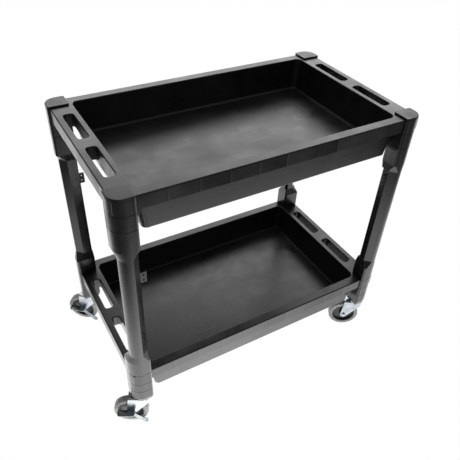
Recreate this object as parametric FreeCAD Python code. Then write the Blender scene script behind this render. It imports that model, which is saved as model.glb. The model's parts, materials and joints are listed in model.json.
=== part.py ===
import FreeCAD, Part
import math
import os

V = FreeCAD.Vector

# ------------------------------------------------------------------ driving dimensions (mm)
# Frame: X along the trolley, Y across it, Z up, origin on the floor under the tray centres.
rim_length = 840.0
rim_depth = 486.0
top_rim_height = 816.0
lower_rim_height = 240.0

# trays
wall = 4.0
rim_thickness = 4.0
rim_corner_radius = 6.0
rim_edge_radius = 3.0
opening_edge_radius = 2.5
lip_height = 35.0
lip_thickness = 3.5
end_rim_margin = 8.5
side_rim_width = 28.0
tray_depth = 88.0
end_draft = 16.0
side_draft = 12.0
tray_corner_radius = 16.0
floor_edge_radius = 6.0
skirt_depth = 110.0
skirt_end_offset = 10.0
skirt_side_offset = 11.5
skirt_draft = 6.0
skirt_corner_radius = 14.0
skirt_edge_radius = 4.0
floor_rib_thickness = 3.0
floor_rib_recess = 4.0
floor_ribs_across = 9
floor_ribs_along = 4
lip_rib_pitch = 75.0
lip_rib_height = 28.0
lip_rib_thickness = 2.5
web_thickness = 4.0
web_height = 68.0

# hand slots, two in each end rim
slot_width = 26.0
slot_length = 131.0
slot_bridge = 44.0
slot_corner_radius = 9.0
slot_collar_thickness = 3.0
slot_outer_margin = 18.0

# corner posts: one section for caps, sockets and leg collars
post_length = 56.5
post_depth = 52.0
post_proud_x = 6.0
post_proud_y = 7.0
post_outer_radius = 32.0
post_inner_radius = 6.0
post_wall = 4.5
least_radius = 0.5
band_depth = 0.6
band_height = 1.2
top_socket_height = 80.0
top_band_drop = 40.0
foot_band_drops = (40.0, 73.0)
foot_taper_height = 12.0
foot_taper_inset = 3.0

# legs
tube_length = 46.5
tube_depth = 45.0
tube_setback = 8.0
tube_outer_radius = 24.0
tube_chamfer = 18.0
tube_wall = 3.5
tube_notch = 8.0
upper_collar_height = 58.0
lower_collar_height = 53.0
collar_taper_height = 24.0
seam_radius = 2.0
spigot_length = 52.0
spigot_clearance = 0.3
spigot_wall = 3.5
spigot_end_gap = 1.0

# caps
cap_thickness = 5.0
cap_edge_radius = 2.0
cap_plug_depth = 12.0
cap_plug_wall = 3.0
cap_plug_clearance = 0.1

# accessory tabs on the legs, set higher on the right-hand legs
tab_reach = 16.0
tab_height = 31.5
tab_thickness = 5.0
tab_root = 2.5
tab_level_left = 576.0
tab_level_right = 626.0
tab_hole_radius = 2.6
tab_hole_pitch = 15.5
tab_hole_from_tip = 7.5
tab_corner_radius = 1.5

# casters
wheel_radius = 50.0
wheel_width = 22.0
tread_thickness = 11.5
tread_shoulder = 3.5
hub_web_thickness = 8.0
hub_rim_thickness = 3.5
hub_boss_radius = 12.0
hub_slope = 1.5
hub_side_clearance = 0.5
caster_trail = 33.0
caster_inset_x = 23.0
caster_inset_y = 21.0
wheel_head_room = 11.2
fork_sheet = 2.5
fork_gap = 26.0
fork_bend_radius = 5.0
fork_eye_radius = 11.0
fork_lead = 26.0
fork_rear_overhang = 5.0
sleeve_radius = 7.0
axle_radius = 4.0
running_clearance = 0.05
axle_head_flats = 13.0
axle_head_height = 5.3
axle_head_crown = 0.8
axle_nut_height = 6.5
axle_tail = 2.5
stem_radius = 5.5
stem_hold = 38.0
stem_tip_radius = 1.5
stem_head_radius = 9.5
stem_head_height = 2.5
stem_head_edge = 1.0
part_gap = 0.3
race_radius = 22.0
race_thickness = 4.0
race_skirt = 2.0
ball_radius = 2.0
ball_circle_radius = 14.5
ball_count = 12
cage_thickness = 1.2
cage_inner_radius = 11.0
cage_outer_radius = 18.0

# brake levers
lever_sheet = 2.5
lever_hub_radius = 12.0
lever_arm_width = 14.0
lever_arm_length = 58.0
lever_arm_drop_deg = 42.0
lever_hole_radius = 2.5
pedal_rise = 11.0
pedal_front = 12.0
pedal_reach = 37.0
pedal_width = 20.0
pedal_corner_radius = 6.0
pedal_lip = 4.0
brace_setback = 4.0

# direction in which each caster trails, degrees from +X
caster_heading = {
    "front_left": 151.0,
    "rear_left": 140.0,
    "front_right": 148.0,
    "rear_right": -22.0,
}
braked = ("front_left", "rear_left")

# ------------------------------------------------------------------ derived places
half_length = rim_length / 2
half_depth = rim_depth / 2
post_x1 = half_length + post_proud_x
post_x0 = post_x1 - post_length
post_y1 = half_depth + post_proud_y
post_y0 = post_y1 - post_depth
tube_x1 = post_x1 - tube_setback
tube_x0 = tube_x1 - tube_length
tube_y1 = post_y1
tube_y0 = tube_y1 - tube_depth
caster_x = half_length - caster_inset_x
caster_y = half_depth - caster_inset_y
fork_top = 2 * wheel_radius + wheel_head_room + fork_sheet
ball_level = fork_top + part_gap + ball_radius
foot_bottom = ball_level + ball_radius + race_thickness
upper_seam = top_rim_height - top_socket_height
opening_x = post_x0 - end_rim_margin
opening_y = half_depth - side_rim_width
end_slope = end_draft / tray_depth
side_slope = side_draft / tray_depth
skirt_x = opening_x + skirt_end_offset
skirt_y = opening_y + skirt_side_offset
skirt_slope = skirt_draft / skirt_depth
corners = {
    "front_left": (-1, -1),
    "rear_left": (-1, 1),
    "front_right": (1, -1),
    "rear_right": (1, 1),
}
touch = 0.01


# ------------------------------------------------------------------ small helpers
def rounded_outline(x0, x1, y0, y1, z, sizes, straight=()):
    """Closed outline of a rectangle; sizes are corner radii from (x0, y0) round to (x0, y1).

    The corners numbered in straight are cut off straight instead of being rounded."""
    points = [(x0, y0), (x1, y0), (x1, y1), (x0, y1)]
    inward = [(1, 1), (-1, 1), (-1, -1), (1, -1)]
    upright_starts = [True, False, True, False]
    turns = []
    for (px, py), (ix, iy), upright_start, size in zip(points, inward, upright_starts, sizes):
        centre = V(px + ix * size, py + iy * size, z)
        on_side = V(px, centre.y, z)
        on_end = V(centre.x, py, z)
        bulge = size * math.sqrt(0.5)
        middle = V(centre.x - ix * bulge, centre.y - iy * bulge, z)
        turns.append((on_side, middle, on_end) if upright_start else (on_end, middle, on_side))
    edges = []
    for index, (start, middle, end) in enumerate(turns):
        turn = Part.LineSegment(start, end) if index in straight else Part.Arc(start, middle, end)
        edges.append(turn.toShape())
        edges.append(Part.LineSegment(end, turns[(index + 1) % len(turns)][0]).toShape())
    return Part.Wire(edges)


def upright(outline, height):
    return Part.Face(outline).extrude(V(0, 0, height))


def block(x0, x1, y0, y1, z0, z1):
    return Part.makeBox(x1 - x0, y1 - y0, z1 - z0, V(x0, y0, z0))


def centred_outline(half_x, half_y, z, radius):
    return rounded_outline(-half_x, half_x, -half_y, half_y, z, [radius] * 4)


def loft(*outlines):
    return Part.makeLoft(list(outlines), True, True)


def edges_at(shape, level, reach_x=math.inf, reach_y=math.inf):
    """Edges that lie at one level, within a reach of the middle."""
    found = []
    for edge in shape.Edges:
        box = edge.BoundBox
        flat = abs(box.ZMin - level) < touch and abs(box.ZMax - level) < touch
        near = max(-box.XMin, box.XMax) < reach_x + touch and max(-box.YMin, box.YMax) < reach_y + touch
        if flat and near:
            found.append(edge)
    return found


def eased(shape, level, radius):
    """Round every edge that lies at one level."""
    return shape.makeFillet(radius, edges_at(shape, level))


def cylinder(radius, z0, z1, x=0.0, y=0.0):
    return Part.makeCylinder(radius, z1 - z0, V(x, y, z0))


def across(radius, v0, v1, u=0.0, z=0.0):
    """A cylinder lying along Y, from v0 to v1."""
    return Part.makeCylinder(radius, v1 - v0, V(u, v0, z), V(0, 1, 0))


def hexagon(flats, v0, v1, u, z):
    """A hexagonal prism lying along Y."""
    corner = flats / math.sqrt(3)
    angles = [math.pi / 3 * k for k in range(7)]
    points = [V(u + corner * math.cos(angle), v0, z + corner * math.sin(angle)) for angle in angles]
    return Part.Face(Part.makePolygon(points)).extrude(V(0, v1 - v0, 0))


def to_corner(shape, sx, sy):
    """Mirror a shape made for the +X +Y corner to another corner."""
    if sx < 0:
        shape = shape.mirror(V(0, 0, 0), V(1, 0, 0))
    if sy < 0:
        shape = shape.mirror(V(0, 0, 0), V(0, 1, 0))
    return shape


def to_all_corners(shape):
    return [to_corner(shape, sx, sy) for sx, sy in corners.values()]


def save(name, shape):
    shape = shape.removeSplitter()
    if not shape.isValid() or not shape.Solids:
        raise ValueError("bad solid: " + name)
    shape.exportStep("parts/" + name + ".step")


# ------------------------------------------------------------------ post sections (+X +Y corner)
def post_outline(z, inset=0.0):
    inner = max(post_inner_radius - inset, least_radius)
    return rounded_outline(post_x0 + inset, post_x1 - inset, post_y0 + inset, post_y1 - inset, z,
                           [inner, inner, post_outer_radius - inset, inner])


def tube_outline(z, inset=0.0):
    """Section of the leg's tube: two corners cut straight, one round, one left for the notch."""
    cut = tube_chamfer - inset * (2 - math.sqrt(2))
    return rounded_outline(tube_x0 + inset, tube_x1 - inset, tube_y0 + inset, tube_y1 - inset, z,
                           [least_radius, cut, tube_outer_radius - inset, cut], straight=(1, 3))


def band_groove(z):
    ring = upright(post_outline(z), band_height)
    return ring.cut(upright(post_outline(z, band_depth), band_height))


# ------------------------------------------------------------------ trays
def tub_outline(rim_top, depth, outset=0.0):
    """The inside of the tub at a depth below the rim, moved out by a wall if wanted."""
    return centred_outline(opening_x - end_slope * depth + outset, opening_y - side_slope * depth + outset,
                           rim_top - depth, tray_corner_radius + outset)


def skirt_outline(rim_top, depth, inset=0.0):
    """The outer wall round the tub, which stands steeper than the tub and runs below its floor."""
    return centred_outline(skirt_x - end_slope * depth - inset, skirt_y - skirt_slope * depth - inset,
                           rim_top - depth, skirt_corner_radius - inset)


def side_gap_outline(rim_top, depth):
    """The gap between the tub's long walls and the skirt, open below."""
    return centred_outline(opening_x - end_slope * depth + wall / 2, skirt_y - skirt_slope * depth - wall,
                           rim_top - depth, skirt_corner_radius - wall)


def skirt(rim_top):
    body = loft(skirt_outline(rim_top, 0), skirt_outline(rim_top, skirt_depth))
    body = eased(body, rim_top - skirt_depth, skirt_edge_radius)
    gap = loft(side_gap_outline(rim_top, rim_thickness), side_gap_outline(rim_top, skirt_depth))
    under = tray_depth + wall
    underside = loft(skirt_outline(rim_top, under, wall), skirt_outline(rim_top, skirt_depth, wall))
    return body.cut(gap).cut(underside)


def tub_hollow(rim_top):
    hollow = loft(tub_outline(rim_top, 0), tub_outline(rim_top, tray_depth))
    return eased(hollow, rim_top - tray_depth, floor_edge_radius)


def floor_ribs(rim_top):
    """A grid of ribs under the floor, trimmed to the middle of the skirt."""
    low = rim_top - skirt_depth + floor_rib_recess
    high = rim_top - tray_depth - wall / 2
    half = floor_rib_thickness / 2
    ribs = []
    for k in range(floor_ribs_across):
        x = skirt_x * (2 * (k + 1) / (floor_ribs_across + 1) - 1)
        ribs.append(block(x - half, x + half, -skirt_y, skirt_y, low, high))
    for k in range(floor_ribs_along):
        y = skirt_y * (2 * (k + 1) / (floor_ribs_along + 1) - 1)
        ribs.append(block(-skirt_x, skirt_x, y - half, y + half, low, high))
    trim = loft(skirt_outline(rim_top, tray_depth, wall / 2), skirt_outline(rim_top, skirt_depth, wall / 2))
    return ribs[0].multiFuse(ribs[1:]).common(trim)


def rim_and_lip(rim_top):
    """Flat rim with a lip turned down round its edge."""
    low = rim_top - lip_height
    outside = upright(centred_outline(half_length, half_depth, low, rim_corner_radius), lip_height)
    outside = eased(outside, rim_top, rim_edge_radius)
    inside = upright(centred_outline(half_length - lip_thickness, half_depth - lip_thickness, low,
                                     rim_corner_radius - lip_thickness), lip_height - rim_thickness)
    return outside.cut(inside)


def slot_places():
    x = half_length - slot_outer_margin - slot_width / 2
    y = (slot_bridge + slot_length) / 2
    return [(sx * x, sy * y) for sx in (-1, 1) for sy in (-1, 1)]


def slot_shape(x, y, rim_top, extra=0.0):
    half_w = slot_width / 2 + extra
    half_l = slot_length / 2 + extra
    outline = rounded_outline(x - half_w, x + half_w, y - half_l, y + half_l, rim_top - lip_height,
                              [slot_corner_radius + extra] * 4)
    return upright(outline, lip_height)


def lip_ribs(rim_top):
    """Small ribs between the long lips and the skirt."""
    low = rim_top - lip_rib_height
    high = rim_top - rim_thickness / 2
    inner = skirt_y - skirt_slope * lip_rib_height - wall / 2
    outer = half_depth - lip_thickness / 2
    count = int((opening_x - lip_rib_pitch / 2) // lip_rib_pitch)
    ribs = []
    for k in range(-count, count + 1):
        x = k * lip_rib_pitch
        for sy in (-1, 1):
            y0, y1 = sorted((sy * inner, sy * outer))
            ribs.append(block(x - lip_rib_thickness / 2, x + lip_rib_thickness / 2, y0, y1, low, high))
    return ribs


def corner_web(rim_top):
    """Web from a corner socket to the end of the skirt (+X +Y corner)."""
    y = skirt_y - skirt_draft
    x = skirt_x - end_slope * web_height - wall
    return block(x, post_x0 + post_wall / 2, y - web_thickness, y, rim_top - web_height,
                 rim_top - rim_thickness / 2)


def tray(rim_top, sockets, bands):
    """A whole tray; its corner sockets and the band grooves round them differ between the two."""
    shell = loft(tub_outline(rim_top, 0, wall), tub_outline(rim_top, tray_depth + wall, wall))
    collars = [slot_shape(x, y, rim_top, slot_collar_thickness) for x, y in slot_places()]
    ribs = lip_ribs(rim_top) + to_all_corners(corner_web(rim_top)) + [floor_ribs(rim_top)]
    body = rim_and_lip(rim_top).multiFuse([skirt(rim_top), shell] + collars + ribs)
    body = body.cut(tub_hollow(rim_top))
    for x, y in slot_places():
        body = body.cut(slot_shape(x, y, rim_top))
    reach_x = half_length - slot_outer_margin
    body = body.makeFillet(opening_edge_radius, edges_at(body, rim_top, reach_x, opening_y))
    body = body.multiFuse(to_all_corners(sockets))
    for band in bands:
        for groove in to_all_corners(band_groove(band)):
            body = body.cut(groove)
    return body


def top_tray():
    rim_top = top_rim_height
    socket = upright(post_outline(upper_seam), top_socket_height)
    body = tray(rim_top, socket, [rim_top - top_band_drop, rim_top - band_height])
    for cavity in to_all_corners(upright(post_outline(upper_seam, post_wall), top_socket_height)):
        body = body.cut(cavity)
    return body


def lower_tray():
    rim_top = lower_rim_height
    shoulder = foot_bottom + foot_taper_height
    straight = upright(post_outline(shoulder), rim_top - shoulder)
    foot = loft(post_outline(foot_bottom, foot_taper_inset), post_outline(shoulder))
    body = tray(rim_top, straight.fuse(foot), [rim_top - drop for drop in foot_band_drops])
    cavity_depth = spigot_length + spigot_end_gap
    cavity = upright(post_outline(rim_top - cavity_depth, post_wall), cavity_depth)
    stem_hole = cylinder(stem_radius, foot_bottom, foot_bottom + stem_hold, caster_x, caster_y)
    for cut in to_all_corners(cavity) + to_all_corners(stem_hole):
        body = body.cut(cut)
    return body


# ------------------------------------------------------------------ legs, tabs and caps
def spigot_outline(z, depth_in=0.0):
    """Outline of a leg's spigot, or of its bore when moved in by the wall."""
    return post_outline(z, post_wall + spigot_clearance + depth_in)


def collar(z0, z1, seam):
    """Wide end of a leg, with its edge rounded where it meets the tray."""
    return eased(upright(post_outline(z0), z1 - z0), seam, seam_radius)


def tube_bore(z0, z1):
    """The bore of the tube, stepped round the notch."""
    bore = upright(tube_outline(z0, tube_wall), z1 - z0)
    keep = tube_notch + tube_wall
    return bore.cut(block(tube_x0, tube_x0 + keep, tube_y0, tube_y0 + keep, z0, z1))


def leg(tab_level):
    """One leg for the +X +Y corner."""
    upper_taper_top = upper_seam - upper_collar_height
    upper_taper_low = upper_taper_top - collar_taper_height
    lower_taper_low = lower_rim_height + lower_collar_height
    lower_taper_top = lower_taper_low + collar_taper_height
    low_end = lower_rim_height - spigot_length
    high_end = upper_seam + spigot_length
    body = collar(upper_taper_top, upper_seam, upper_seam).multiFuse([
        loft(tube_outline(upper_taper_low), post_outline(upper_taper_top)),
        upright(tube_outline(lower_taper_top), upper_taper_low - lower_taper_top),
        loft(post_outline(lower_taper_low), tube_outline(lower_taper_top)),
        collar(lower_rim_height, lower_taper_low, lower_rim_height),
        upright(spigot_outline(low_end), spigot_length + tube_wall),
        upright(spigot_outline(upper_seam - tube_wall), spigot_length + tube_wall),
    ])
    notch = block(tube_x0 - post_length, tube_x0 + tube_notch, tube_y0 - post_depth, tube_y0 + tube_notch,
                  lower_taper_top, upper_taper_low)
    low_bore = upright(spigot_outline(low_end, spigot_wall), lower_taper_low - low_end)
    high_bore = upright(spigot_outline(upper_taper_top, spigot_wall), high_end - upper_taper_top)
    middle_bore = tube_bore(lower_taper_low, upper_taper_top)
    for cut in (notch, low_bore, high_bore, middle_bore, tab_socket(tab_level)):
        body = body.cut(cut)
    return body


def tab_blank(x0, x1, level):
    y = tube_y1 - tube_depth / 2
    z0 = level - tab_height / 2
    return block(x0, x1, y - tab_thickness / 2, y + tab_thickness / 2, z0, z0 + tab_height)


def tab_socket(level):
    """Slot in the leg's inner face that holds the root of the accessory tab."""
    return tab_blank(tube_x0 - tab_reach, tube_x0 + tab_root, level)


def accessory_tab(level):
    tip = tube_x0 - tab_reach
    body = tab_blank(tip, tube_x0 + tab_root, level)
    tip_edges = [e for e in body.Edges if e.BoundBox.XMax < tip + touch and e.BoundBox.YLength > touch]
    body = body.makeFillet(tab_corner_radius, tip_edges)
    box = body.BoundBox
    for side in (-1, 1):
        z = level + side * tab_hole_pitch / 2
        body = body.cut(across(tab_hole_radius, box.YMin, box.YMax, tip + tab_hole_from_tip, z))
    return body


def corner_cap():
    low = top_rim_height
    plate = eased(upright(post_outline(low), cap_thickness), low + cap_thickness, cap_edge_radius)
    inset = post_wall + cap_plug_clearance
    plug = upright(post_outline(low - cap_plug_depth, inset), cap_plug_depth)
    hollow = upright(post_outline(low - cap_plug_depth, inset + cap_plug_wall), cap_plug_depth)
    return plate.fuse(plug.cut(hollow))


# ------------------------------------------------------------------ casters
# Each caster piece is made with its swivel axis on Z, trailing towards +X, and is then turned
# to its heading and moved under its corner.
leg_inner = fork_gap / 2
leg_outer = leg_inner + fork_sheet
lever_inner = leg_outer + part_gap
lever_outer = lever_inner + lever_sheet


def ring(radius_out, radius_in, z0, z1):
    return cylinder(radius_out, z0, z1).cut(cylinder(radius_in, z0, z1))


def revolve_about_axle(points):
    """Turn an outline of (radius, v) points about the axle."""
    outline = Part.makePolygon([V(caster_trail, v, wheel_radius + r) for r, v in points + points[:1]])
    return Part.Face(outline).revolve(V(caster_trail, 0, wheel_radius), V(0, 1, 0), 360)


def tread():
    half = wheel_width / 2
    inner = wheel_radius - tread_thickness
    body = revolve_about_axle([(inner, -half), (wheel_radius, -half), (wheel_radius, half), (inner, half)])
    circles = [e for e in body.Edges if e.Curve.TypeId == "Part::GeomCircle"]
    outer_edges = [e for e in circles if e.Curve.Radius > inner + touch]
    return body.makeFillet(tread_shoulder, outer_edges)


def hub():
    half = wheel_width / 2
    web = hub_web_thickness / 2
    rim_out = wheel_radius - tread_thickness
    rim_in = rim_out - hub_rim_thickness
    boss = fork_gap / 2 - hub_side_clearance
    bore = sleeve_radius + running_clearance
    boss_foot = hub_boss_radius + hub_slope
    rim_foot = rim_in - hub_slope
    profile = [(bore, -boss), (hub_boss_radius, -boss), (boss_foot, -web), (rim_foot, -web),
               (rim_in, -half), (rim_out, -half), (rim_out, half), (rim_in, half),
               (rim_foot, web), (boss_foot, web), (hub_boss_radius, boss), (bore, boss)]
    return revolve_about_axle(profile)


def axle_sleeve():
    outer = across(sleeve_radius, -leg_inner, leg_inner, caster_trail, wheel_radius)
    return outer.cut(across(axle_radius, -leg_inner, leg_inner, caster_trail, wheel_radius))


def axle_bolt(with_lever):
    """Hexagon bolt; its head is on the +Y side, outside the lever or the fork leg."""
    under_head = (lever_outer + part_gap) if with_lever else leg_outer
    tail = -leg_outer - axle_nut_height - axle_tail
    shank = across(axle_radius, tail, under_head, caster_trail, wheel_radius)
    head = hexagon(axle_head_flats, under_head, under_head + axle_head_height, caster_trail, wheel_radius)
    crown = axle_head_flats / 2 - axle_head_crown
    foot = V(caster_trail, under_head, wheel_radius)
    dome = Part.makeCone(axle_head_flats, crown, axle_head_height, foot, V(0, 1, 0))
    return shank.fuse(head.common(dome))


def axle_nut():
    outer = -leg_outer
    body = hexagon(axle_head_flats, outer - axle_nut_height, outer, caster_trail, wheel_radius)
    return body.cut(across(axle_radius, outer - axle_nut_height, outer, caster_trail, wheel_radius))


def bent_channel(half, top, radius):
    """A block along the fork with its two upper edges bent over."""
    rear = caster_trail + fork_eye_radius + fork_rear_overhang
    body = block(-fork_lead, rear, -half, half, wheel_radius - fork_eye_radius, top)
    bends = [e for e in edges_at(body, top) if e.BoundBox.YLength < touch]
    return body.makeFillet(radius, bends)


def fork():
    """Stamped fork: a channel with bent shoulders, trimmed to the outline of its legs."""
    outer = bent_channel(leg_outer, fork_top, fork_bend_radius)
    inner = bent_channel(leg_inner, fork_top - fork_sheet, fork_bend_radius - fork_sheet)
    body = outer.cut(inner).common(fork_side_profile()).common(fork_top_profile())
    body = body.cut(across(axle_radius, -leg_outer, leg_outer, caster_trail, wheel_radius))
    return body.cut(cylinder(stem_radius + running_clearance, wheel_radius, fork_top))


def fork_side_profile():
    """Side outline of the fork legs, extruded across the caster."""
    eye = V(caster_trail, 0, wheel_radius)
    top_rear = V(caster_trail + fork_rear_overhang, 0, fork_top)
    top_front = V(-fork_lead, 0, fork_top)
    shoulder = V(-fork_lead, 0, fork_top - fork_bend_radius - fork_sheet)
    rear_touch = tangent_point(top_rear, eye, fork_eye_radius, 1)
    front_touch = tangent_point(shoulder, eye, fork_eye_radius, -1)
    lowest = V(eye.x, 0, eye.z - fork_eye_radius)
    edges = [
        Part.LineSegment(top_front, top_rear).toShape(),
        Part.LineSegment(top_rear, rear_touch).toShape(),
        Part.Arc(rear_touch, lowest, front_touch).toShape(),
        Part.LineSegment(front_touch, shoulder).toShape(),
        Part.LineSegment(shoulder, top_front).toShape(),
    ]
    face = Part.Face(Part.Wire(edges))
    face.translate(V(0, -leg_outer, 0))
    return face.extrude(V(0, 2 * leg_outer, 0))


def tangent_point(point, centre, radius, side):
    """Where a line from point touches the circle, on the side given."""
    dx, dz = point.x - centre.x, point.z - centre.z
    distance = math.hypot(dx, dz)
    base = math.atan2(dz, dx)
    turn = math.acos(radius / distance)
    angle = base - side * turn
    return V(centre.x + radius * math.cos(angle), 0, centre.z + radius * math.sin(angle))


def fork_top_profile():
    """Plan outline of the fork, round at the front end."""
    rear = caster_trail + fork_eye_radius + fork_rear_overhang
    nose = fork_lead - leg_outer
    plan = block(-nose, rear, -leg_outer, leg_outer, 0, fork_top)
    return plan.fuse(cylinder(leg_outer, 0, fork_top, -nose, 0))


def race():
    """Fixed upper race, seated under the corner post."""
    body = ring(race_radius, stem_radius, foot_bottom - race_thickness, foot_bottom)
    skirt_ring = ring(race_radius, race_radius - race_skirt, ball_level - ball_radius / 2, foot_bottom)
    return body.fuse(skirt_ring)


def ball_cage():
    """Ring that spaces the balls between the race and the fork."""
    half = cage_thickness / 2
    body = ring(cage_outer_radius, cage_inner_radius, ball_level - half, ball_level + half)
    balls = []
    for k in range(ball_count):
        angle = 2 * math.pi * k / ball_count
        centre = V(ball_circle_radius * math.cos(angle), ball_circle_radius * math.sin(angle), ball_level)
        balls.append(Part.makeSphere(ball_radius, centre))
    return body.multiFuse(balls)


def stem():
    """Swivel stem: held in the post, turning in the fork, with a head under the fork crown."""
    head_top = fork_top - fork_sheet - part_gap
    head_low = head_top - stem_head_height
    tip = foot_bottom + stem_hold
    shank = eased(cylinder(stem_radius, head_top, tip), tip, stem_tip_radius)
    head = eased(cylinder(stem_head_radius, head_low, head_top), head_low, stem_head_edge)
    return shank.fuse(head)


def lever_plate(points):
    """A flat piece of the lever, from (u, z) points about the axle."""
    loop = [V(caster_trail + u, lever_inner, wheel_radius + z) for u, z in points + points[:1]]
    return Part.Face(Part.makePolygon(loop)).extrude(V(0, lever_sheet, 0))


def lever_pedal():
    """The foot plate, bent outwards from the lever, with its turned-up end and its cheek."""
    front = caster_trail - pedal_front
    rear = caster_trail + pedal_reach
    top = wheel_radius + pedal_rise
    outer = lever_inner + pedal_width
    plate = block(front, rear, lever_inner, outer, top - lever_sheet, top)
    standing = [e for e in plate.Edges if e.BoundBox.ZLength > touch]
    free_corners = [e for e in standing if e.BoundBox.YMin > outer - touch]
    plate = plate.makeFillet(pedal_corner_radius, free_corners)
    end = block(rear - lever_sheet, rear, lever_inner, outer - pedal_corner_radius, top - lever_sheet,
                top + pedal_lip)
    cheek = block(front, rear, lever_inner, lever_outer, top - 2 * lever_sheet, top)
    return plate.multiFuse([end, cheek])


def lever_arm():
    """The release arm with its round end and hole."""
    drop = math.radians(lever_arm_drop_deg)
    end = (-lever_arm_length * math.cos(drop), -lever_arm_length * math.sin(drop))
    half = lever_arm_width / 2
    side = (half * math.sin(drop), -half * math.cos(drop))
    bar = lever_plate([side, (end[0] + side[0], end[1] + side[1]), (end[0] - side[0], end[1] - side[1]),
                       (-side[0], -side[1])])
    end_u = caster_trail + end[0]
    end_z = wheel_radius + end[1]
    body = bar.fuse(across(half, lever_inner, lever_outer, end_u, end_z))
    return body.cut(across(lever_hole_radius, lever_inner, lever_outer, end_u, end_z))


def brake_lever():
    """Side lever on the axle: a foot pedal bent outwards and a release arm."""
    disc = across(lever_hub_radius, lever_inner, lever_outer, caster_trail, wheel_radius)
    brace_end = pedal_reach - brace_setback
    brace_top = pedal_rise - lever_sheet
    brace = lever_plate([
        (-lever_hub_radius, 0),
        (lever_hub_radius, -brace_setback),
        (brace_end, brace_top - lever_sheet),
        (brace_end, brace_top),
        (-pedal_front, brace_top),
    ])
    body = disc.multiFuse([brace, lever_pedal(), lever_arm()])
    bore = across(axle_radius + running_clearance, lever_inner, lever_outer, caster_trail, wheel_radius)
    return body.cut(bore)


def place_caster(shape, corner):
    sx, sy = corners[corner]
    shape.rotate(V(0, 0, 0), V(0, 0, 1), caster_heading[corner])
    shape.translate(V(sx * caster_x, sy * caster_y, 0))
    return shape


def save_caster(corner):
    has_brake = corner in braked
    pieces = {
        "caster_stem": stem(),
        "caster_race": race(),
        "caster_ball_cage": ball_cage(),
        "caster_fork": fork(),
        "wheel_tread": tread(),
        "wheel_hub": hub(),
        "axle_sleeve": axle_sleeve(),
        "axle_bolt": axle_bolt(has_brake),
        "axle_nut": axle_nut(),
    }
    if has_brake:
        pieces["brake_lever"] = brake_lever()
    for name, shape in pieces.items():
        save(name + "_" + corner, place_caster(shape, corner))


def main():
    os.makedirs("parts", exist_ok=True)
    save("top_tray", top_tray())
    save("lower_tray", lower_tray())
    for corner, (sx, sy) in corners.items():
        tab_level = tab_level_left if sx < 0 else tab_level_right
        save("leg_" + corner, to_corner(leg(tab_level), sx, sy))
        save("accessory_tab_" + corner, to_corner(accessory_tab(tab_level), sx, sy))
        save("corner_cap_" + corner, to_corner(corner_cap(), sx, sy))
        save_caster(corner)


main()
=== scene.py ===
import json
import math

import bpy
from mathutils import Matrix, Vector

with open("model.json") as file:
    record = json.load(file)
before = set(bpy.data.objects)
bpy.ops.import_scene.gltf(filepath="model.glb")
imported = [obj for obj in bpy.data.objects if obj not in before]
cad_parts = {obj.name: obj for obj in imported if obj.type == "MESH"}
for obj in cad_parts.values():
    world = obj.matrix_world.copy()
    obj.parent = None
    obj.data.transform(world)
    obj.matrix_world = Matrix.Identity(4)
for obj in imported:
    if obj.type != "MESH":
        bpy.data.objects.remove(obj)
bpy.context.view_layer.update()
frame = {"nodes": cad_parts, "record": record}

# ------------------------------------------------------------------ camera and studio values
camera_azimuth = math.radians(-31.97)
camera_elevation = math.radians(39.43)
camera_roll = math.radians(3.13)
camera_place = Vector((-0.6492, -1.05195, 1.42847))
camera_lens = 40.7
sensor_width = 36.0

floor_half_size = 30.0
floor_colour = (0.86, 0.86, 0.855, 1.0)
# painted shade: the floor's colour away from the painted glow
painted_shade_floor_colour = (0.30, 0.30, 0.30, 1.0)
backdrop_colour = (1.0, 1.0, 1.0, 1.0)
# painted light: the floor glows around the trolley and behind it, most in a pool by the front left wheels
front_way = (-0.53, -0.848, 0.0)
behind_edge = (-0.9, -0.4)
glow_centre = (0.25, 0.40, 0.0)
glow_edge = (1.22, 1.55)
glow_share = 0.3
light_pool_centre = (-0.25, -0.35, 0.0)
light_pool_edge = (0.15, 0.70)
light_pool_share = 0.42
floor_glow = 4.0

horizon_colour = (0.015, 0.015, 0.016, 1.0)
zenith_colour = (1.0, 1.0, 1.0, 1.0)
sky_strength = 0.55
softbox_place = (1.45, 2.32, 2.15)
softbox_target = (0.0, 0.1, 0.5)
softbox_width = 3.4
softbox_height = 1.7
softbox_power = 52.0

# ------------------------------------------------------------------ finishes
unlit = (0.0, 0.0, 0.0, 1.0)
fully_lit = (1.0, 1.0, 1.0, 1.0)
black_pigment = (0.0050, 0.0051, 0.0054, 1.0)
worn_pigment = (0.0105, 0.0106, 0.0112, 1.0)
tab_pigments = ((0.016, 0.016, 0.015, 1.0), (0.028, 0.028, 0.027, 1.0))
tread_greys = ((0.20, 0.20, 0.19, 1.0), (0.31, 0.31, 0.295, 1.0))
bright_zinc = ((0.25, 0.275, 0.305, 1.0), (0.46, 0.49, 0.52, 1.0))
dull_zinc = ((0.13, 0.15, 0.17, 1.0), (0.27, 0.30, 0.33, 1.0))
zinc_tint = (0.40, 0.42, 0.34, 1.0)
plastic_ior = 1.49
rubber_ior = 1.5
lip_rib_pitch = 0.075
lip_inner_plane = 0.235
panel_roughness_spread = 0.16
tub_floor_levels = (0.152, 0.728)
floor_fillet_height = 0.008
fillet_facing = (0.2, 0.97)
fillet_roughness = 0.3
flat_facing = 0.9
sink_half_width = 0.06
pigment_span = (0.35, 0.7)
middle_span = (0.3, 0.7)
flow_span = (0.7, 1.3)


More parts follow.
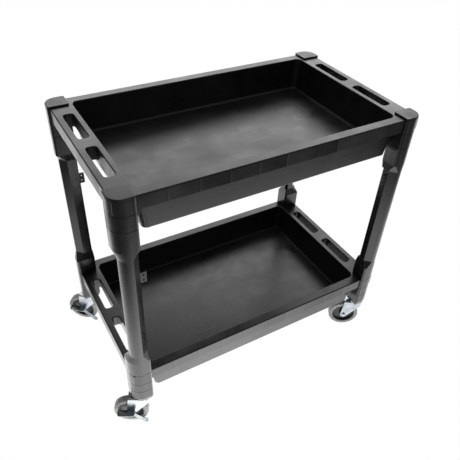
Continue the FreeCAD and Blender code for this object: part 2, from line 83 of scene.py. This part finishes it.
class Wire:
    """An output of a shader node, for use in sums and products."""

    def __init__(self, finish, output):
        self.finish = finish
        self.output = output

    def maths(self, operation, *values):
        return self.finish.node("ShaderNodeMath", {"operation": operation}, dict(enumerate(values)))

    def __add__(self, other):
        return self.maths("ADD", self, other)

    def __radd__(self, other):
        return self.maths("ADD", other, self)

    def __sub__(self, other):
        return self.maths("SUBTRACT", self, other)

    def __rsub__(self, other):
        return self.maths("SUBTRACT", other, self)

    def __mul__(self, other):
        return self.maths("MULTIPLY", self, other)

    def __rmul__(self, other):
        return self.maths("MULTIPLY", other, self)

    def __truediv__(self, other):
        return self.maths("DIVIDE", self, other)

    def __abs__(self):
        return self.maths("ABSOLUTE", self)

    def __gt__(self, other):
        return self.maths("GREATER_THAN", self, other)

    def __lt__(self, other):
        return self.maths("LESS_THAN", self, other)


class Finish:
    """A material and the nodes that make it."""

    def __init__(self, name):
        self.material = bpy.data.materials.new(name)
        self.material.use_nodes = True
        self.tree = self.material.node_tree
        self.shader = self.tree.nodes["Principled BSDF"]

    def node(self, kind, settings=None, values=None, output=0):
        made = self.tree.nodes.new(kind)
        for name, value in (settings or {}).items():
            setattr(made, name, value)
        for name, value in (values or {}).items():
            self.feed(made.inputs[name], value)
        return Wire(self, made.outputs[output])

    def feed(self, socket, value):
        if isinstance(value, Wire):
            self.tree.links.new(value.output, socket)
        else:
            socket.default_value = value

    def surface(self, **values):
        for name, value in values.items():
            self.feed(self.shader.inputs[name.replace("_", " ").title().replace("Ior", "IOR")], value)
        return self.material

    # ---- patterns
    def place(self):
        return self.node("ShaderNodeTexCoord", output="Object")

    def stretched(self, factors):
        return self.node("ShaderNodeVectorMath", {"operation": "MULTIPLY"}, {0: self.place(), 1: factors})

    def noise(self, scale, detail=2.0, roughness=0.5, at=None):
        values = {"Vector": at or self.place(), "Scale": scale, "Detail": detail, "Roughness": roughness}
        return self.node("ShaderNodeTexNoise", None, values)

    def along(self, axis):
        return self.node("ShaderNodeSeparateXYZ", None, {"Vector": self.place()}, axis)

    def apart(self, centre):
        return self.node("ShaderNodeVectorMath", {"operation": "DISTANCE"}, {0: self.place(), 1: centre}, 1)

    def facing(self, axis):
        normal = self.node("ShaderNodeNewGeometry", output="Normal")
        return self.node("ShaderNodeSeparateXYZ", None, {"Vector": normal}, axis)

    def range(self, value, low, high, to_low=0.0, to_high=1.0):
        spans = {"From Min": low, "From Max": high, "To Min": to_low, "To Max": to_high}
        return self.node("ShaderNodeMapRange", {"clamp": True}, {"Value": value, **spans})

    def blend(self, share, colour_a, colour_b):
        return self.node("ShaderNodeMix", {"data_type": "RGBA"}, {0: share, 6: colour_a, 7: colour_b}, 2)

    def bump(self, height, distance, strength=1.0, under=None):
        values = {"Height": height, "Distance": distance, "Strength": strength}
        if under is not None:
            values["Normal"] = under
        return self.node("ShaderNodeBump", None, values)


def tray_finish():
    """Matt moulded plastic: fine grain, faint flow marks, sink marks on the lips where ribs meet them."""
    finish = Finish("black_tray_plastic")
    flow = finish.noise(7.0, 4.0, 0.6, finish.stretched((0.45, 1.6, 1.0)))
    cloud = finish.noise(16.0, 3.0, 0.55)
    grain = finish.noise(1500.0, 2.0, 0.6)
    panel_place = finish.along("X") / lip_rib_pitch
    to_rib = abs(panel_place - panel_place.maths("ROUND", panel_place))
    on_lip = (abs(finish.facing("Y")) > flat_facing) * (abs(finish.along("Y")) > lip_inner_plane)
    sink = finish.range(to_rib, 0.0, sink_half_width, 1.0, 0.0) * on_lip
    panel = finish.node("ShaderNodeTexWhiteNoise", {"noise_dimensions": "1D"},
                        {"W": panel_place.maths("FLOOR", panel_place)}, "Value")
    shade = finish.range(flow + cloud, 0.75, 1.3)
    colour = finish.blend(shade, black_pigment, worn_pigment)
    rough = finish.range(flow + cloud, *flow_span, 0.24, 0.40)
    rough = rough + (panel - 0.5) * on_lip * panel_roughness_spread
    for level in tub_floor_levels:
        least_facing, most_facing = fillet_facing
        above = abs(finish.along("Z") - (level + floor_fillet_height / 2))
        sloping = (finish.facing("Z") < most_facing) * (finish.facing("Z") > least_facing)
        rough = rough + (above < floor_fillet_height / 2) * sloping * fillet_roughness
    relief = finish.bump(grain, 0.00012, 0.35)
    relief = finish.bump(cloud, 0.0012, 0.15, relief)
    relief = finish.bump(sink, 0.0006, 0.8, relief)
    return finish.surface(base_color=colour, roughness=rough, normal=relief, ior=plastic_ior)


def leg_finish():
    finish = Finish("black_leg_plastic")
    cloud = finish.noise(14.0, 3.0, 0.5)
    streak = finish.noise(60.0, 3.0, 0.5, finish.stretched((1.0, 1.0, 0.12)))
    grain = finish.noise(1700.0, 2.0, 0.6)
    colour = finish.blend(finish.range(cloud, *pigment_span), black_pigment, worn_pigment)
    rough = finish.range(cloud + streak, 0.8, 1.25, 0.24, 0.33)
    relief = finish.bump(grain, 0.0001, 0.3)
    relief = finish.bump(cloud, 0.0008, 0.2, relief)
    return finish.surface(base_color=colour, roughness=rough, normal=relief, ior=plastic_ior)


def cap_finish():
    finish = Finish("black_cap_plastic")
    cloud = finish.noise(30.0, 3.0, 0.5)
    grain = finish.noise(1300.0, 2.0, 0.65)
    colour = finish.blend(finish.range(cloud, *pigment_span), black_pigment, worn_pigment)
    rough = finish.range(cloud, *pigment_span, 0.32, 0.42)
    relief = finish.bump(grain, 0.00014, 0.4)
    return finish.surface(base_color=colour, roughness=rough, normal=relief, ior=plastic_ior)


def tab_finish():
    finish = Finish("grey_black_tab_plastic")
    cloud = finish.noise(80.0, 3.0, 0.5)
    grain = finish.noise(1500.0, 2.0, 0.6)
    colour = finish.blend(cloud, *tab_pigments)
    relief = finish.bump(grain, 0.0001, 0.3)
    return finish.surface(base_color=colour, roughness=0.5, normal=relief, ior=plastic_ior)


def zinc_finish(name, dark, light):
    """Zinc plate on stamped steel: cool, with cloudy passivation and drawing marks."""
    finish = Finish(name)
    cloud = finish.noise(45.0, 4.0, 0.6)
    tint = finish.noise(24.0, 2.0, 0.5)
    drawn = finish.noise(420.0, 2.0, 0.5, finish.stretched((1.0, 1.0, 0.08)))
    grey = finish.blend(finish.range(cloud, *middle_span), dark, light)
    colour = finish.blend(finish.range(tint, 0.55, 0.8, 0.0, 0.35), grey, zinc_tint)
    rough = finish.range(cloud + drawn, *flow_span, 0.20, 0.34)
    relief = finish.bump(cloud, 0.0006, 0.25)
    relief = finish.bump(drawn, 0.00005, 0.3, relief)
    return finish.surface(base_color=colour, metallic=1.0, roughness=rough, normal=relief)


def hub_finish():
    finish = Finish("black_hub_plastic")
    cloud = finish.noise(60.0, 3.0, 0.5)
    grain = finish.noise(1400.0, 2.0, 0.6)
    colour = finish.blend(finish.range(cloud, *pigment_span), black_pigment, worn_pigment)
    rough = finish.range(cloud, *middle_span, 0.35, 0.5)
    relief = finish.bump(grain, 0.0001, 0.3)
    return finish.surface(base_color=colour, roughness=rough, normal=relief, ior=plastic_ior)


def tread_finish():
    """Grey non-marking rubber, lightly scuffed."""
    finish = Finish("grey_tread_rubber")
    cloud = finish.noise(55.0, 4.0, 0.6)
    scuff = finish.noise(600.0, 3.0, 0.7)
    colour = finish.blend(finish.range(cloud, *middle_span), *tread_greys)
    rough = finish.range(scuff, *middle_span, 0.55, 0.75)
    relief = finish.bump(scuff, 0.0001, 0.4)
    return finish.surface(base_color=colour, roughness=rough, normal=relief, ior=rubber_ior)


def floor_finish():
    """Pale floor, plain white to the camera.

    What the trolley mirrors is painted light: the floor glows, strongest in a pool by the front left
    wheels, and fades out in front, where its colour is also painted darker as painted shade."""
    finish = Finish("pale_floor")
    ahead = finish.node("ShaderNodeVectorMath", {"operation": "DOT_PRODUCT"},
                        {0: finish.place(), 1: front_way}, 1)
    lit = finish.range(finish.apart(glow_centre), *glow_edge, 1.0, 0.0)
    lit = lit.maths("MAXIMUM", lit, finish.range(ahead, *behind_edge, 1.0, 0.0))
    pool = finish.range(finish.apart(light_pool_centre), *light_pool_edge, 1.0, 0.0)
    # painted light: the floor glows around the trolley and behind it, brightest in a pool by the front left
    # wheels
    glow = finish.blend(lit * glow_share + pool * light_pool_share, unlit, fully_lit)
    # painted shade: the floor's colour turns darker where the painted glow fades
    colour = finish.blend(lit, painted_shade_floor_colour, floor_colour)
    finish.surface(base_color=colour, roughness=0.9, emission_color=glow, emission_strength=floor_glow)
    lit_floor = Wire(finish, finish.shader.outputs[0])
    plain_floor = finish.node("ShaderNodeEmission", None, {"Color": backdrop_colour, "Strength": 1.0})
    seen = finish.node("ShaderNodeLightPath", output="Is Camera Ray")
    both = finish.node("ShaderNodeMixShader", None, {0: seen, 1: lit_floor, 2: plain_floor})
    finish.feed(finish.tree.nodes["Material Output"].inputs["Surface"], both)
    return finish.material


def set_finish(piece, material):
    piece.data.materials.clear()
    piece.data.materials.append(material)
    for polygon in piece.data.polygons:
        polygon.material_index = 0


def dress_nodes():
    by_slot = {
        "tray_plastic": tray_finish(),
        "leg_plastic": leg_finish(),
        "cap_plastic": cap_finish(),
        "tab_plastic": tab_finish(),
        "zinc_steel": zinc_finish("bright_zinc_plate", *bright_zinc),
        "hub_plastic": hub_finish(),
        "tread_rubber": tread_finish(),
    }
    lever_zinc = zinc_finish("dull_zinc_plate", *dull_zinc)
    slots = {row["node"]: row["material_slot"] for row in frame["record"]["subparts"]}
    for name, piece in frame["nodes"].items():
        set_finish(piece, lever_zinc if name.startswith("brake_lever") else by_slot[slots[name]])


# ------------------------------------------------------------------ studio
def add_floor():
    s = floor_half_size
    mesh = bpy.data.meshes.new("floor")
    mesh.from_pydata([(-s, -s, 0), (s, -s, 0), (s, s, 0), (-s, s, 0)], [], [(0, 1, 2, 3)])
    floor = bpy.data.objects.new("floor", mesh)
    bpy.context.scene.collection.objects.link(floor)
    set_finish(floor, floor_finish())


def add_softbox():
    """One large lamp behind the trolley, for the sheen on its tub floors and rims."""
    light = bpy.data.lights.new("rear_softbox", "AREA")
    light.shape = "RECTANGLE"
    light.size = softbox_width
    light.size_y = softbox_height
    light.energy = softbox_power
    lamp = bpy.data.objects.new("rear_softbox", light)
    lamp.location = softbox_place
    lamp.rotation_mode = "QUATERNION"
    lamp.rotation_quaternion = (Vector(softbox_target) - Vector(softbox_place)).to_track_quat("-Z", "Y")
    bpy.context.scene.collection.objects.link(lamp)


def add_sky():
    """Soft room light, bright overhead and dark at the horizon, behind a plain white backdrop."""
    world = bpy.data.worlds.new("studio_room")
    world.use_nodes = True
    tree = world.node_tree
    room = tree.nodes["Background"]
    backdrop = tree.nodes.new("ShaderNodeBackground")
    coords = tree.nodes.new("ShaderNodeTexCoord")
    split = tree.nodes.new("ShaderNodeSeparateXYZ")
    ramp = tree.nodes.new("ShaderNodeValToRGB")
    light_path = tree.nodes.new("ShaderNodeLightPath")
    both = tree.nodes.new("ShaderNodeMixShader")
    ramp.color_ramp.elements[0].color = horizon_colour
    ramp.color_ramp.elements[1].color = zenith_colour
    room.inputs["Strength"].default_value = sky_strength
    backdrop.inputs["Color"].default_value = backdrop_colour
    tree.links.new(coords.outputs["Generated"], split.inputs[0])
    tree.links.new(split.outputs["Z"], ramp.inputs[0])
    tree.links.new(ramp.outputs[0], room.inputs["Color"])
    tree.links.new(light_path.outputs["Is Camera Ray"], both.inputs[0])
    tree.links.new(room.outputs[0], both.inputs[1])
    tree.links.new(backdrop.outputs[0], both.inputs[2])
    tree.links.new(both.outputs[0], tree.nodes["World Output"].inputs["Surface"])
    bpy.context.scene.world = world


def add_camera():
    back = Vector((math.sin(camera_azimuth) * math.cos(camera_elevation),
                   -math.cos(camera_azimuth) * math.cos(camera_elevation),
                   math.sin(camera_elevation)))
    level_right = Vector((math.cos(camera_azimuth), math.sin(camera_azimuth), 0.0))
    level_up = back.cross(level_right)
    right = level_right * math.cos(camera_roll) + level_up * math.sin(camera_roll)
    up = back.cross(right)
    data = bpy.data.cameras.new("camera")
    data.lens = camera_lens
    data.sensor_width = sensor_width
    camera = bpy.data.objects.new("camera", data)
    turn = Matrix((right, up, back)).transposed()
    camera.rotation_mode = "QUATERNION"
    camera.rotation_quaternion = turn.to_quaternion()
    camera.location = camera_place
    bpy.context.scene.collection.objects.link(camera)
    bpy.context.scene.camera = camera


def main():
    bpy.context.scene.view_settings.view_transform = "Standard"
    dress_nodes()
    add_floor()
    add_sky()
    add_softbox()
    add_camera()


main()
